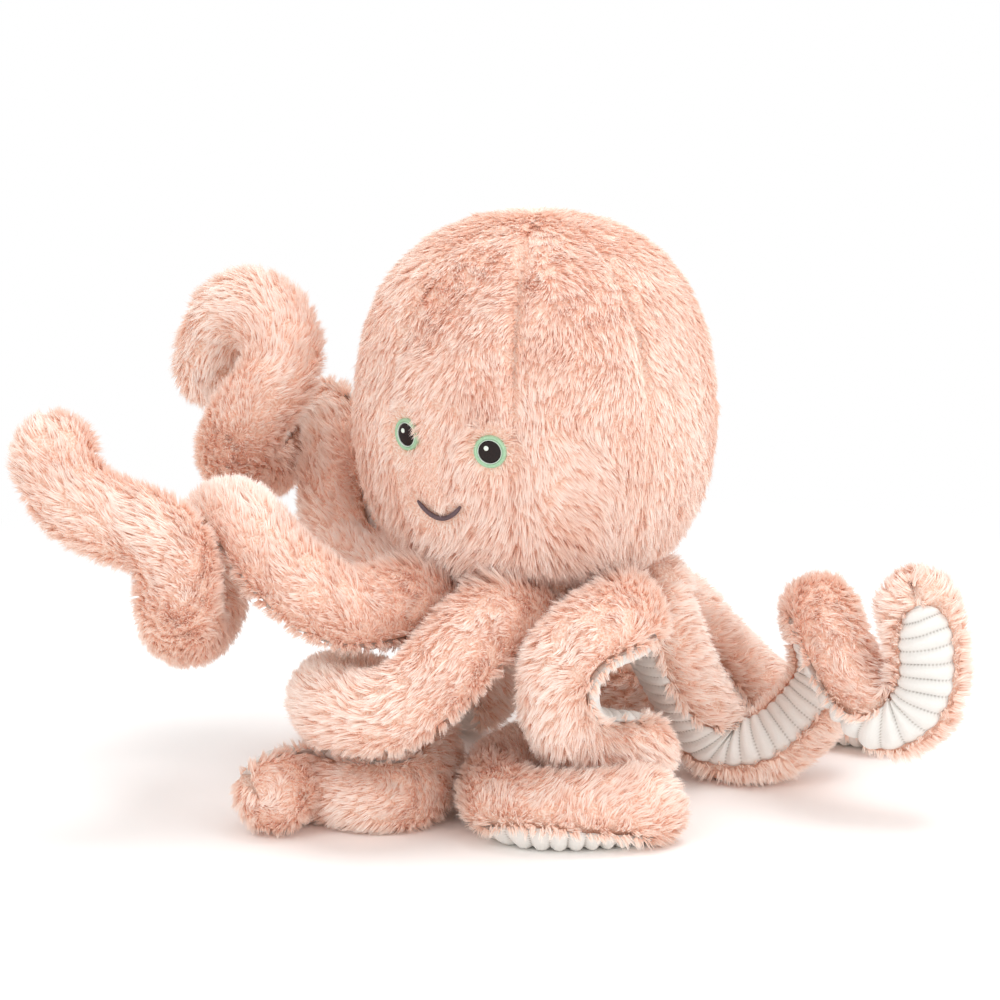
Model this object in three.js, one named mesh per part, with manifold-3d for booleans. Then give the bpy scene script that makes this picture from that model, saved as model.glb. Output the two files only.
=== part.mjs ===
// A plush octopus that sits on its own curled arms. Millimetres, +Z up, face toward -Y, floor at z = 0.
// The head is eight fur gores round a stuffed core, closed below by a base disc. Each of the eight arms is
// a fur sleeve, open along its underside, a corduroy strip sewn into that opening, and a stuffed core.
import * as THREE from "three";
import { mergeVertices } from "three/addons/utils/BufferGeometryUtils.js";
import Module from "manifold-3d";

// Arms
const armCount = 8;
const armRootRadius = 16;
const armMidRadius = 14;
const armTipRadius = 14.5;
const turnGap = 4; // left between two turns of an arm that lie side by side
const rootGap = 3.2; // left between neighbouring arm roots under the head
const cordWidth = 20; // of the corduroy strip, measured where the arm is slimmest
const cordThickness = 1.4;

// Head
const headRadius = 70;
const crownRise = 72; // from the widest level up to the crown
const chinDrop = 63.5; // from the widest level down to the base
const rimRadius = 44; // where the gores turn under to the base disc
const rimRise = 9; // height of the rounding above the base
const crownHole = 2; // radius at which the eight gore tips stop
const seatGap = 0.35; // between the arm roots and the head that they are sewn to

// Fabric and seams
const furBacking = 1.6; // thickness of the fur fabric without its pile
const discThickness = 1.5;
const seamGap = 0.3;

// Face
const eyeRadius = 6.9;
const eyeRingWidth = 2;
const eyeLineWidth = 0.5; // thin pale line inside the green ring
const glintRadius = 0.9;
const threadHeight = 0.8;
const eyeSpacing = 37; // between the two eye centres, over the curve of the face
const eyeHeight = 57; // above the base of the head
const eyeTilt = 1.6; // each eye is this much above or below the eye line
const smileWidth = 20;
const smileDepth = 6;
const smileHeight = 33; // of its ends, above the base of the head
const smileShift = 5; // to the octopus's right of the face's middle
const smileRadius = 0.9;

// How round each piece is drawn
const sleevePoints = 9;
const corePoints = 6;
const stationLength = 40; // longest straight stretch between two sections of an arm
const stationTurn = THREE.MathUtils.degToRad(52); // most that an arm turns and rolls between two sections
const routeSamples = 24; // per control point, before the sections are picked
const goreColumns = 4;
const goreRows = 9;
const eyeSegments = 24;
const smileSteps = 10;
const smileSides = 6;

// Shares
const slimShare = 0.3; // of an arm's length over which it slims from root to middle
const tipStartShare = 0.75;
const tipFullShare = 0.95;
const pinchShare = 0.78; // the inside of a bend reaches this far toward the centre of the bend
const cordCrownShare = 0.6; // of the depth between the strip's chord and the arm's full round
const crownPower = 2.3; // 2 would be an ellipse, more is squarer
const chinReachShare = 1.48; // depth of the chin's ellipse over chinDrop, so that it is cut before its pole
const rootHeightShare = 2.6; // height of the arm roots, in arm pitches

// One pitch is an arm's thickness and the gap to the next turn. The arm roots stand on a ring round the Z
// axis that is just wide enough for all of them.
const pitch = 2 * armMidRadius + turnGap;
const rootRing = (armRootRadius + rootGap / 2) / Math.sin(Math.PI / armCount);
const rootHeight = rootHeightShare * pitch;
const baseHeight = rootHeight + armRootRadius + seatGap;
const widestHeight = baseHeight + chinDrop;
const cordHalfAngle = Math.asin(cordWidth / 2 / armMidRadius);

// The arms' routes, each in its own frame: out from the root, to the side (counter-clockwise from above) and
// up from the floor, then the way in which the corduroy faces, along the same three. Places are in pitches.
const routeShares = {
  front_left: [
    [0, 0, 2.6, 0, 0, -1],
    [0.55, -0.35, 2.75, -0.4, -0.1, -0.9],
    [0.9, -0.7, 2.35, -0.6, 0.2, -0.8],
    [1.1, -1.15, 1.85, -0.7, 0.3, -0.6],
    [1.05, -1.75, 1.6, -0.8, 0.4, -0.5],
    [0.45, -2.45, 1.65, -0.3, 0.8, -0.4],
    [-0.5, -2.25, 1.6, 0.8, 0.5, -0.2],
    [-0.95, -1.65, 1.2, 1, 0.1, 0.2],
    [-1, -1.35, 0.7, 0.6, -0.5, 0.6],
    [-0.45, -1.25, 0.43, -0.2, -0.8, 0.6],
    [0.25, -1.4, 0.42, -0.7, -0.4, 0.6],
    [0.3, -1.95, 0.42, -0.8, -0.2, 0.6],
    [-0.05, -2.4, 0.45, -0.6, -0.4, 0.7],
    [0.05, -2.85, 0.5, -0.3, -0.6, 0.7],
    [0.6, -2.95, 0.52, 0, -0.7, 0.7],
  ],
  side_left: [
    [0, 0, 2.6, 0, 0, -1],
    [0.6, -0.1, 2.7, -0.1, 0.5, -0.9],
    [0.85, -0.8, 2.75, 0.1, 0.5, -0.8],
    [0.75, -1.3, 2.45, 0.45, 0.85, -0.4],
    [0.35, -1.05, 1.75, 0.3, 0.95, 0.2],
    [-0.1, -0.45, 1.05, 0, 0.5, 0.9],
    [0.1, 0.15, 0.95, -0.4, 0.2, 0.9],
    [-0.05, 0.7, 0.75, -0.5, -0.5, 0.7],
    [-0.85, 0.9, 0.5, 0.5, -0.7, 0.5],
    [-1.25, 0.45, 0.5, 0.8, -0.6, 0.2],
    [-1.2, -0.4, 0.55, 0.9, -0.3, -0.3],
    [-0.7, -1.3, 0.5, 0.7, 0.1, -0.7],
    [0.15, -1.55, 0.42, 0.6, -0.2, -0.7],
    [0.65, -0.95, 0.42, 0.4, -0.2, -0.9],
    [0.95, -0.2, 0.45, 0, 0.1, -1],
  ],
  front_right: [
    [0, 0, 2.6, 0, 0, -1],
    [0.75, 0.1, 2.85, -0.2, -0.2, -1],
    [1.45, 0, 2.75, -0.2, -0.4, -0.9],
    [2, -0.2, 3.15, 0, -0.7, -0.7],
    [2.35, -0.55, 3.7, 0.2, -0.7, -0.7],
    [2.3, -1.15, 3.95, 0.5, -0.4, -0.8],
    [2, -2.1, 3.55, 0.9, 0.1, -0.5],
    [1.8, -2.4, 2.75, 1, 0.3, 0.1],
    [2.3, -2, 2.35, 0.5, -0.3, 0.8],
    [3.1, -1.25, 2.65, 0.1, -0.7, 0.7],
    [3.35, -0.65, 3.45, -0.3, -0.9, 0.1],
    [3.45, -0.85, 3.9, -0.5, -0.8, -0.2],
    [3.8, -1.4, 4, -0.6, -0.7, -0.4],
    [4.2, -1.85, 4.25, -0.7, -0.7, -0.3],
    [4.25, -2, 4.75, -0.7, -0.6, 0.2],
  ],
  side_right: [
    [0, 0, 2.6, 0, 0, -1],
    [0.8, -0.4, 2.6, -0.6, -0.1, -0.8],
    [1.15, -1, 2.9, -0.9, -0.4, -0.2],
    [1.35, -1.15, 3.7, -0.9, -0.4, 0],
    [1.2, -1.55, 4.4, -0.7, -0.6, 0.4],
    [1.65, -2.3, 4.5, -0.4, -0.6, 0.7],
    [2.15, -2.3, 4.05, -0.2, -0.7, 0.8],
    [2.4, -1.45, 3.85, -0.2, -0.4, 0.9],
    [2.6, -0.5, 4.15, -0.3, -0.3, 0.9],
    [2.15, 0.1, 4.85, -0.2, -0.9, 0.3],
    [1.75, -0.15, 5.35, 0, -1, 0],
    [1.85, -0.45, 5.9, 0.1, -1, -0.2],
    [2.35, -0.8, 6.15, 0.1, -1, -0.1],
    [2.8, -1.15, 5.75, 0, -1, 0],
    [2.9, -1.25, 5.2, 0, -1, 0],
  ],
  rear_left: [
    [0, 0, 2.6, 0, 0, -1],
    [0.05, 0.1, 2.25, -0.5, -0.3, -0.8],
    [0.4, 0.8, 1.25, -0.8, -0.6, -0.3],
    [0.8, 1.05, 0.38, -0.2, -0.8, 0.5],
    [1.35, 0.85, 0.38, 0.1, -0.8, 0.6],
    [1.9, 1, 0.75, -0.2, -0.6, 0.8],
    [2.35, 1.15, 1.4, -0.4, -0.8, 0.4],
    [2.1, 1.1, 2.1, -0.2, -0.8, -0.5],
    [2.1, 0.35, 2.5, -0.6, 0, -0.8],
    [2.35, -0.3, 2, -0.8, 0.6, -0.3],
    [2.8, -0.6, 1.3, -0.9, -0.2, -0.3],
    [3.4, -0.7, 1.35, -0.2, -1, 0.1],
    [3.55, -0.8, 2.1, -0.1, -1, 0],
    [3.35, -0.8, 2.75, 0.1, -1, 0],
  ],
  back_left: [
    [0, 0, 2.6, 0, 0, -1],
    [0.85, 0.05, 2.15, -0.2, 0.1, -1],
    [1.35, 0.2, 1.75, -0.5, -0.1, -0.9],
    [1.95, 0.15, 1.15, -0.7, -0.1, -0.7],
    [2.6, 0.05, 0.5, -0.3, 0.2, -0.9],
    [3.2, -0.45, 0.42, -0.2, 0.4, -0.9],
    [3.45, -1.2, 0.45, -0.5, 0.5, -0.6],
  ],
  rear_right: [
    [0, 0, 2.6, 0, 0, -1],
    [0.4, -0.25, 2.25, 0.3, 0.8, -0.5],
    [0.45, -0.6, 1.55, 0.6, 0.8, 0],
    [0.65, -0.95, 0.75, 0.4, 0.9, -0.3],
    [1.5, -1, 0.42, 0.2, 0.3, -0.9],
    [2.1, -0.3, 0.42, 0.4, -0.3, -0.9],
    [2.1, 0.7, 0.42, 0.2, -0.7, -0.6],
    [1.15, 1.2, 0.42, -0.5, -0.8, -0.2],
    [0.55, 0.45, 0.45, 0.6, -0.7, 0.3],
  ],
  back_right: [
    [0, 0, 2.6, 0, 0, -1],
    [0.65, -0.15, 2.45, 0, 0, -1],
    [1.35, -0.3, 1.9, -0.6, -0.1, -0.8],
    [2, -0.35, 1.05, -0.7, -0.1, -0.7],
    [2.6, -0.6, 0.42, -0.2, 0, -1],
    [2.75, -1.2, 0.42, -0.5, -0.3, -0.8],
    [2.2, -1.9, 0.42, -0.7, 0.6, -0.4],
    [1.3, -1.65, 0.42, 0.9, 0.5, 0.2],
    [1.25, -0.85, 0.45, 1, 0, 0.3],
  ],
};

// Where each arm's root stands on the ring, in half steps from the face, counted toward the octopus's left
const rootHalfSteps = {
  front_left: 1,
  side_left: 3,
  rear_left: 5,
  back_left: 7,
  back_right: 9,
  rear_right: 11,
  side_right: 13,
  front_right: 15,
};

// The head's gores, in whole steps from the face toward the octopus's left
const goreNames = ["face", "front_left", "left", "rear_left", "back", "rear_right", "right", "front_right"];

// Finishes
const fur = new THREE.MeshStandardMaterial({ color: 0xefb29c, roughness: 0.95, metalness: 0 });
const corduroy = new THREE.MeshStandardMaterial({ color: 0xf6f2ea, roughness: 0.9, metalness: 0 });
const filling = new THREE.MeshStandardMaterial({ color: 0xfafafa, roughness: 1, metalness: 0 });
const greenThread = new THREE.MeshStandardMaterial({ color: 0xa9d6b4, roughness: 0.55, metalness: 0 });
const paleThread = new THREE.MeshStandardMaterial({ color: 0xf4f4f0, roughness: 0.55, metalness: 0 });
const darkThread = new THREE.MeshStandardMaterial({ color: 0x2a2120, roughness: 0.5, metalness: 0 });
const greyThread = new THREE.MeshStandardMaterial({ color: 0x4a4446, roughness: 0.55, metalness: 0 });

const wasm = await Module();
wasm.setup();

const positionsOnly = (geometry) => {
  const bare = geometry.clone();
  bare.deleteAttribute("normal");
  bare.deleteAttribute("uv");
  return mergeVertices(bare);
};

const toSolid = (geometry) => {
  const bare = positionsOnly(geometry);
  const mesh = new wasm.Mesh({
    numProp: 3,
    vertProperties: new Float32Array(bare.attributes.position.array),
    triVerts: new Uint32Array(bare.index.array),
  });
  return new wasm.Manifold(mesh);
};

const toGeometry = (solid) => {
  const mesh = solid.getMesh();
  return new THREE.BufferGeometry()
    .setAttribute("position", new THREE.BufferAttribute(new Float32Array(mesh.vertProperties), 3))
    .setIndex(new THREE.BufferAttribute(new Uint32Array(mesh.triVerts), 1));
};

// What of a piece stands above the floor, so that it rests on flat faces.
const floorBlock = (size) =>
  toSolid(new THREE.BoxGeometry(size, size, size).translate(0, 0, size / 2));

const cutAtFloor = (geometry) => {
  geometry.computeBoundingSphere();
  const reach = geometry.boundingSphere.center.length() + geometry.boundingSphere.radius;
  return toGeometry(toSolid(geometry).intersect(floorBlock(2 * reach)));
};

// A closed solid through rings of points. The rings follow one outline round the origin, which runs
// counter-clockwise as seen from where the rings lead. Where the rings roll, each side's two triangles meet on
// the diagonal that rolls with them.
function loft(rings, outline, rolls = rings.map(() => 0)) {
  const count = outline.length;
  const points = rings.flat();
  const faces = [];
  for (let ring = 0; ring + 1 < rings.length; ring += 1) {
    const rollsForward = rolls[ring + 1] > rolls[ring];
    for (let side = 0; side < count; side += 1) {
      const next = (side + 1) % count;
      const [a, b] = [ring * count + side, ring * count + next];
      const runsForward = outline[side].cross(outline[next]) > 0;
      if (rollsForward === runsForward) faces.push(a, b, a + count, b, b + count, a + count);
      else faces.push(a, b, b + count, a, b + count, a + count);
    }
  }
  const last = (rings.length - 1) * count;
  for (const [a, b, c] of THREE.ShapeUtils.triangulateShape(outline, [])) {
    faces.push(a, c, b, last + a, last + b, last + c);
  }
  const positions = new Float32Array(points.flatMap((point) => point.toArray()));
  return new THREE.BufferGeometry()
    .setAttribute("position", new THREE.BufferAttribute(positions, 3))
    .setIndex(faces);
}

// The weights of a uniform cubic B-spline's four control points at t between the middle two.
const splineWeights = (t) => [
  (1 - t) ** 3 / 6,
  (3 * t ** 3 - 6 * t ** 2 + 4) / 6,
  (-3 * t ** 3 + 3 * t ** 2 + 3 * t + 1) / 6,
  t ** 3 / 6,
];

// A smooth run of samples through a route's places and facings, which starts and ends on its end points.
function sampleRoute(rows) {
  const mirrored = (end, next) => end.map((value, i) => 2 * value - next[i]);
  const first = mirrored(rows[0], rows[1]);
  const last = mirrored(rows[rows.length - 1], rows[rows.length - 2]);
  const control = [first, ...rows, last];
  const samples = [];
  for (let step = 0; step <= (rows.length - 1) * routeSamples; step += 1) {
    const span = Math.min(Math.floor(step / routeSamples), rows.length - 2);
    const weights = splineWeights(step / routeSamples - span);
    const at = (column) =>
      weights.reduce((sum, weight, i) => sum + weight * control[span + i][column], 0);
    samples.push({
      centre: new THREE.Vector3(at(0), at(1), at(2)).multiplyScalar(pitch),
      facing: new THREE.Vector3(at(3), at(4), at(5)),
    });
  }
  return samples;
}

// Each sample's direction, the way its corduroy faces square to that, the bend there as a vector toward its
// centre, and its distance and roll since the root.
function measureRoute(samples) {
  let length = 0;
  let roll = 0;
  samples.forEach((sample, i) => {
    const before = samples[Math.max(i - 1, 0)].centre;
    const after = samples[Math.min(i + 1, samples.length - 1)].centre;
    sample.along = after.clone().sub(before).normalize();
    sample.down = sample.facing.clone().projectOnPlane(sample.along).normalize();
    if (i > 0) length += sample.centre.distanceTo(before);
    if (i > 0) roll += samples[i - 1].down.clone().cross(sample.down).dot(sample.along);
    sample.distance = length;
    sample.roll = roll;
  });
  samples.forEach((sample, i) => {
    const before = samples[Math.max(i - 1, 0)];
    const after = samples[Math.min(i + 1, samples.length - 1)];
    const travelled = after.distance - before.distance;
    sample.bend = after.along.clone().sub(before.along).divideScalar(travelled);
  });
  return length;
}

const mix = (from, to, share) => from + (to - from) * THREE.MathUtils.clamp(share, 0, 1);

function armRadiusAt(share) {
  const slimmed = mix(armRootRadius, armMidRadius, share / slimShare);
  const towardTip = (share - tipStartShare) / (tipFullShare - tipStartShare);
  return slimmed + mix(0, armTipRadius - armMidRadius, towardTip);
}

// Sections along an arm, closer together where it bends, with the rounding of both ends.
const rootCaps = [80, 50].map(THREE.MathUtils.degToRad);
const tipCaps = [32, 62, 84].map(THREE.MathUtils.degToRad);

function armStations(rows) {
  const samples = sampleRoute(rows);
  const length = measureRoute(samples);
  const effort = [0];
  for (let i = 1; i < samples.length; i += 1) {
    const travelled = samples[i].distance - samples[i - 1].distance;
    const turned = samples[i].along.angleTo(samples[i - 1].along);
    const rolled = Math.abs(samples[i].roll - samples[i - 1].roll);
    effort.push(effort[i - 1] + travelled / stationLength + (turned + rolled) / stationTurn);
  }
  const count = Math.ceil(effort[effort.length - 1]);
  const stations = [];
  for (let i = 0; i <= count; i += 1) {
    const wanted = (effort[effort.length - 1] * i) / count;
    const found = effort.findIndex((value) => value >= wanted - Number.EPSILON * count);
    stations.push(stationAt(samples[found < 0 ? samples.length - 1 : found], length));
  }
  const root = stations[0];
  const tip = stations[stations.length - 1];
  return [
    ...rootCaps.map((cap) => ({ ...root, cap: -cap, bend: new THREE.Vector3() })),
    ...stations,
    ...tipCaps.map((cap) => ({ ...tip, cap, bend: new THREE.Vector3() })),
  ];
}

function stationAt({ centre, along, bend, down, roll, distance }, length) {
  const across = new THREE.Vector3().crossVectors(down, along);
  return { centre, along, bend, down, across, roll, radius: armRadiusAt(distance / length), cap: 0 };
}

// A point of a section, given by its depth under the arm's surface and its place (x across, y down) on the
// unit circle. Inside a tight bend the arm is pinched, and at an end it closes in a half round.
function armPoint(station, depth, x, y) {
  const reach = (station.radius - depth) * Math.cos(station.cap);
  const offset = new THREE.Vector3()
    .addScaledVector(station.across, x * reach)
    .addScaledVector(station.down, y * reach);
  const bend = station.bend.length();
  if (bend > 0) {
    const inward = station.bend.clone().divideScalar(bend);
    const beyond = offset.dot(inward) - (pinchShare / bend - depth);
    if (beyond > 0) offset.addScaledVector(inward, -beyond);
  }
  return offset
    .add(station.centre)
    .addScaledVector(station.along, (station.radius - depth) * Math.sin(station.cap));
}

// Places on the unit circle from one lip of the corduroy's opening round the back to the other.
const roundBack = (count) =>
  Array.from({ length: count }, (_, i) => {
    const angle = mix(cordHalfAngle, 2 * Math.PI - cordHalfAngle, i / (count - 1));
    return [-Math.sin(angle), Math.cos(angle)];
  });

// An arm piece from its outline's points, each a depth under the surface and a place on the unit circle.
function armPiece(stations, outlineOf) {
  const flat = outlineOf(stations[rootCaps.length]).map(
    ([depth, x, y]) => new THREE.Vector2(x, y).multiplyScalar(armMidRadius - depth),
  );
  const rings = stations.map((station) =>
    outlineOf(station).map(([depth, x, y]) => armPoint(station, depth, x, y)),
  );
  return cutAtFloor(loft(rings, flat, stations.map((station) => station.roll)));
}

const sleeveOutline = () => [
  ...roundBack(sleevePoints).map(([x, y]) => [0, x, y]),
  ...roundBack(corePoints).reverse().map(([x, y]) => [furBacking, x, y]),
];

const coreOutline = () => roundBack(corePoints).map(([x, y]) => [furBacking + seamGap, x, y]);

// The strip lies on the chord between the sleeve's lips and is crowned by its filling.
const stripOutline = (station) => {
  const angle = cordHalfAngle - (3 * seamGap) / station.radius;
  const edge = Math.sin(angle);
  const chord = Math.cos(angle);
  const crown = chord + cordCrownShare * (1 - chord);
  return [
    [0, edge, chord],
    [0, 0, crown],
    [0, -edge, chord],
    [cordThickness, -edge, chord],
    [cordThickness, edge, chord],
  ];
};

function addArm(octopus, name) {
  const arm = new THREE.Group();
  const turn = -Math.PI / 2 + (rootHalfSteps[name] * Math.PI) / armCount;
  arm.position.set(rootRing * Math.cos(turn), rootRing * Math.sin(turn), 0);
  arm.rotation.z = turn;
  const stations = armStations(routeShares[name]);
  const pieces = [
    ["fur", sleeveOutline, fur],
    ["cord", stripOutline, corduroy],
    ["stuffing", coreOutline, filling],
  ];
  for (const [piece, outlineOf, finish] of pieces) {
    const mesh = new THREE.Mesh(armPiece(stations, outlineOf), finish);
    mesh.name = `arm_${name}_${piece}`;
    arm.add(mesh);
  }
  octopus.add(arm);
}

// The head's radius at a height above the floor: a squarer ellipse above, a longer one below, turned in at
// the base.
function headRadiusAt(height) {
  const rise = Math.max(height - widestHeight, 0) / crownRise;
  const drop = Math.max(widestHeight - height, 0) / (chinReachShare * chinDrop);
  const above = Math.max(1 - rise ** crownPower, 0) ** (1 / crownPower);
  const below = Math.sqrt(1 - drop ** 2);
  const uncut = headRadius * Math.sqrt(1 - 1 / chinReachShare ** 2);
  const turnedIn = 1 - THREE.MathUtils.clamp((height - baseHeight) / rimRise, 0, 1);
  return headRadius * Math.min(above, below) - (uncut - rimRadius) * turnedIn ** 2;
}

// The head's profile from base to crown as points (radius, height), at a depth under its surface.
function headProfile(depth) {
  const crown = widestHeight + crownRise * (1 - (crownHole / headRadius) ** crownPower) ** (1 / crownPower);
  const rimEnd = baseHeight + rimRise;
  const heights = [baseHeight, baseHeight + rimRise / 3];
  for (let row = 0; row <= goreRows; row += 1) {
    const sweep = (Math.PI / 2) * (row / goreRows);
    heights.push(rimEnd + (crown - rimEnd) * Math.sin(sweep));
  }
  const outer = heights.map((height) => new THREE.Vector2(headRadiusAt(height), height));
  return outer.map((point, i) => {
    const before = outer[Math.max(i - 1, 0)];
    const after = outer[Math.min(i + 1, outer.length - 1)];
    const slope = after.clone().sub(before).normalize();
    return new THREE.Vector2(point.x - depth * slope.y, point.y + depth * slope.x);
  });
}

const stepAngle = (2 * Math.PI) / armCount;

// One gore: a curved strip of fur fabric from base to crown, narrowed by half a seam on each side.
function goreGeometry(index) {
  const layers = [headProfile(0), headProfile(furBacking)];
  const columns = Array.from({ length: goreColumns + 1 }, (_, i) => i / goreColumns - 0.5);
  const at = (layer, row, column) => {
    const { x: radius, y: height } = layers[layer][row];
    const inset = Math.asin(seamGap / 2 / radius);
    const angle = -Math.PI / 2 + stepAngle * (index + column) - 2 * inset * column;
    return new THREE.Vector3(radius * Math.cos(angle), radius * Math.sin(angle), height);
  };
  const rings = layers[0].map((_, row) => [
    ...columns.map((column) => at(0, row, column)),
    ...columns.toReversed().map((column) => at(1, row, column)),
  ]);
  const outline = rings[0].map((point) => new THREE.Vector2(point.x, point.y));
  return loft(rings, outline);
}

function addHead(octopus) {
  goreNames.forEach((name, index) => {
    const gore = new THREE.Mesh(goreGeometry(index), fur);
    gore.name = `head_gore_${name}`;
    octopus.add(gore);
  });
  const columns = goreColumns * armCount;
  const turned = -Math.PI / 2 - stepAngle / 2;
  const discRadius = headProfile(furBacking + seamGap)[0].x;
  const disc = new THREE.CylinderGeometry(discRadius, discRadius, discThickness, columns);
  const base = new THREE.Mesh(disc.rotateX(Math.PI / 2).rotateZ(turned), corduroy);
  base.name = "head_base_disc";
  base.position.z = baseHeight + discThickness / 2;
  octopus.add(base);
  const core = new THREE.Mesh(headCoreGeometry(columns).rotateZ(turned), filling);
  core.name = "head_stuffing";
  octopus.add(core);
}

// The stuffed core follows the gores from inside and ends above the base disc.
function headCoreGeometry(columns) {
  const bottom = baseHeight + discThickness + seamGap;
  const inner = headProfile(furBacking + seamGap);
  const floorRadius = inner[0].x;
  const profile = inner.filter((point) => point.y > bottom + seamGap);
  const crown = profile[profile.length - 1];
  const points = [
    new THREE.Vector2(0, bottom),
    new THREE.Vector2(floorRadius, bottom),
    ...profile,
    new THREE.Vector2(0, crown.y),
  ];
  return new THREE.LatheGeometry(points, columns).rotateX(Math.PI / 2);
}

// Stands a piece drawn round the Z axis on the head's surface, with its back a little off the fur. Sideways is
// measured over the curve, toward the octopus's left.
function placeOnFace(piece, sideways, height, lift) {
  const level = baseHeight + height;
  const radius = headRadiusAt(level);
  const angle = -Math.PI / 2 + sideways / radius;
  const slope = (headRadiusAt(level + seamGap) - headRadiusAt(level - seamGap)) / (2 * seamGap);
  const outward = new THREE.Vector3(Math.cos(angle), Math.sin(angle), -slope).normalize();
  piece.position
    .set(radius * Math.cos(angle), radius * Math.sin(angle), level)
    .addScaledVector(outward, lift);
  piece.up.set(0, 0, 1);
  piece.lookAt(piece.position.clone().add(outward));
}

// A flat ring or disc of satin stitch, curved as the face is.
function stitchedRing(inner, outer) {
  const sag = (radius) => -(radius ** 2) / (2 * headRadius);
  const lower = [new THREE.Vector2(inner, sag(inner)), new THREE.Vector2(outer, sag(outer))];
  const upper = [
    new THREE.Vector2(outer, sag(outer) + threadHeight),
    new THREE.Vector2(inner, sag(inner) + threadHeight),
  ];
  const profile = inner > 0 ? [...lower, ...upper, lower[0]] : [...lower, ...upper];
  return new THREE.LatheGeometry(profile, eyeSegments).rotateX(Math.PI / 2);
}

function addEye(octopus, name, side) {
  const lineOuter = eyeRadius - eyeRingWidth - seamGap;
  const pupilRadius = lineOuter - eyeLineWidth - seamGap;
  const pieces = [
    ["ring", stitchedRing(eyeRadius - eyeRingWidth, eyeRadius), greenThread],
    ["line", stitchedRing(lineOuter - eyeLineWidth, lineOuter), paleThread],
    ["pupil", stitchedRing(0, pupilRadius), darkThread],
  ];
  const sideways = (side * eyeSpacing) / 2;
  const height = eyeHeight - side * eyeTilt;
  for (const [piece, geometry, finish] of pieces) {
    const mesh = new THREE.Mesh(geometry, finish);
    mesh.name = `eye_${name}_${piece}`;
    placeOnFace(mesh, sideways, height, seamGap);
    octopus.add(mesh);
  }
  const glint = new THREE.Mesh(stitchedRing(0, glintRadius), paleThread);
  glint.name = `eye_${name}_glint`;
  const toSide = pupilRadius / 3;
  placeOnFace(glint, sideways - toSide, height + pupilRadius / 2, 2 * seamGap + threadHeight);
  octopus.add(glint);
}

// The smile: one cord of satin stitch along an arc on the face, deepest in its middle.
function addSmile(octopus) {
  const marker = new THREE.Object3D();
  const points = [];
  for (let step = 0; step <= smileSteps; step += 1) {
    const share = (2 * step) / smileSteps - 1;
    const sideways = -smileShift + (share * smileWidth) / 2;
    const height = smileHeight - smileDepth * (1 - share ** 2);
    placeOnFace(marker, sideways, height, seamGap + smileRadius);
    points.push(marker.position.clone());
  }
  const section = new THREE.Shape().absarc(0, 0, smileRadius, 0, 2 * Math.PI);
  const options = {
    steps: smileSteps,
    curveSegments: smileSides,
    bevelEnabled: false,
    extrudePath: new THREE.CatmullRomCurve3(points),
  };
  const smile = new THREE.Mesh(new THREE.ExtrudeGeometry(section, options), greyThread);
  smile.name = "smile";
  octopus.add(smile);
}

const octopus = new THREE.Group();
addHead(octopus);
addEye(octopus, "left", 1);
addEye(octopus, "right", -1);
addSmile(octopus);
Object.keys(routeShares).forEach((name) => addArm(octopus, name));

// The frame's origin is on the floor, under the middle of the whole octopus.
const middle = new THREE.Box3().setFromObject(octopus, true).getCenter(new THREE.Vector3());
octopus.position.set(-middle.x, -middle.y, 0);

export default octopus;
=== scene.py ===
"""A plush octopus with long peach fur, corduroy under its curled arms and a stitched face."""

import math

import bmesh
import bpy
import numpy as np
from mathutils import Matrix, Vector


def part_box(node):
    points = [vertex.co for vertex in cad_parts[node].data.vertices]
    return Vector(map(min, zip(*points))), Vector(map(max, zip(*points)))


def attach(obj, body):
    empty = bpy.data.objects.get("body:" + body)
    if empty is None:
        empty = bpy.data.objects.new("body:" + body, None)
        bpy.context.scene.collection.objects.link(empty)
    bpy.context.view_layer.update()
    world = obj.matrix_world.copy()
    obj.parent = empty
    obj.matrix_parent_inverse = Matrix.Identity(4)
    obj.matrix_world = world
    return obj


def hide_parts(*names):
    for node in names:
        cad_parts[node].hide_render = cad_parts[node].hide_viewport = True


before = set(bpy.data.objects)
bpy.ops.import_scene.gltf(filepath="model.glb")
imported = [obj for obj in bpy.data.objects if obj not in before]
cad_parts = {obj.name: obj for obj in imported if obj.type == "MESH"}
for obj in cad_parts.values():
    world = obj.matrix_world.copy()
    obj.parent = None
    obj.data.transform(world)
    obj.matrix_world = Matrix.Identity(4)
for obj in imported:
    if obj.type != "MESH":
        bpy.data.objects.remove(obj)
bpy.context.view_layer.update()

MM = 0.001

# Where the head stands in the frame: the base disc is centred on its axis
BASE_LOW, BASE_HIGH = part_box("head_base_disc")
HEAD_AXIS = np.array([(BASE_LOW.x + BASE_HIGH.x) / 2, (BASE_LOW.y + BASE_HIGH.y) / 2, 0.0])
BASE_HEIGHT = BASE_LOW.z

# The arms, as in the part
ARM_COUNT = 8
ARM_ROOT_RADIUS = 16 * MM
ARM_MID_RADIUS = 14 * MM
ARM_TIP_RADIUS = 14.5 * MM
TURN_GAP = 4 * MM
ROOT_GAP = 3.2 * MM
SLIM_SHARE = 0.3
TIP_START_SHARE = 0.75
TIP_FULL_SHARE = 0.95
PINCH_SHARE = 0.78
PITCH = 2 * ARM_MID_RADIUS + TURN_GAP
ROOT_RING = (ARM_ROOT_RADIUS + ROOT_GAP / 2) / math.sin(math.pi / ARM_COUNT)

# The head, as in the part
HEAD_RADIUS = 70 * MM
CROWN_RISE = 72 * MM
CHIN_DROP = 63.5 * MM
CHIN_REACH_SHARE = 1.48
CROWN_POWER = 2.3
RIM_RADIUS = 44 * MM
RIM_RISE = 9 * MM
WIDEST_HEIGHT = BASE_HEIGHT + CHIN_DROP

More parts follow.
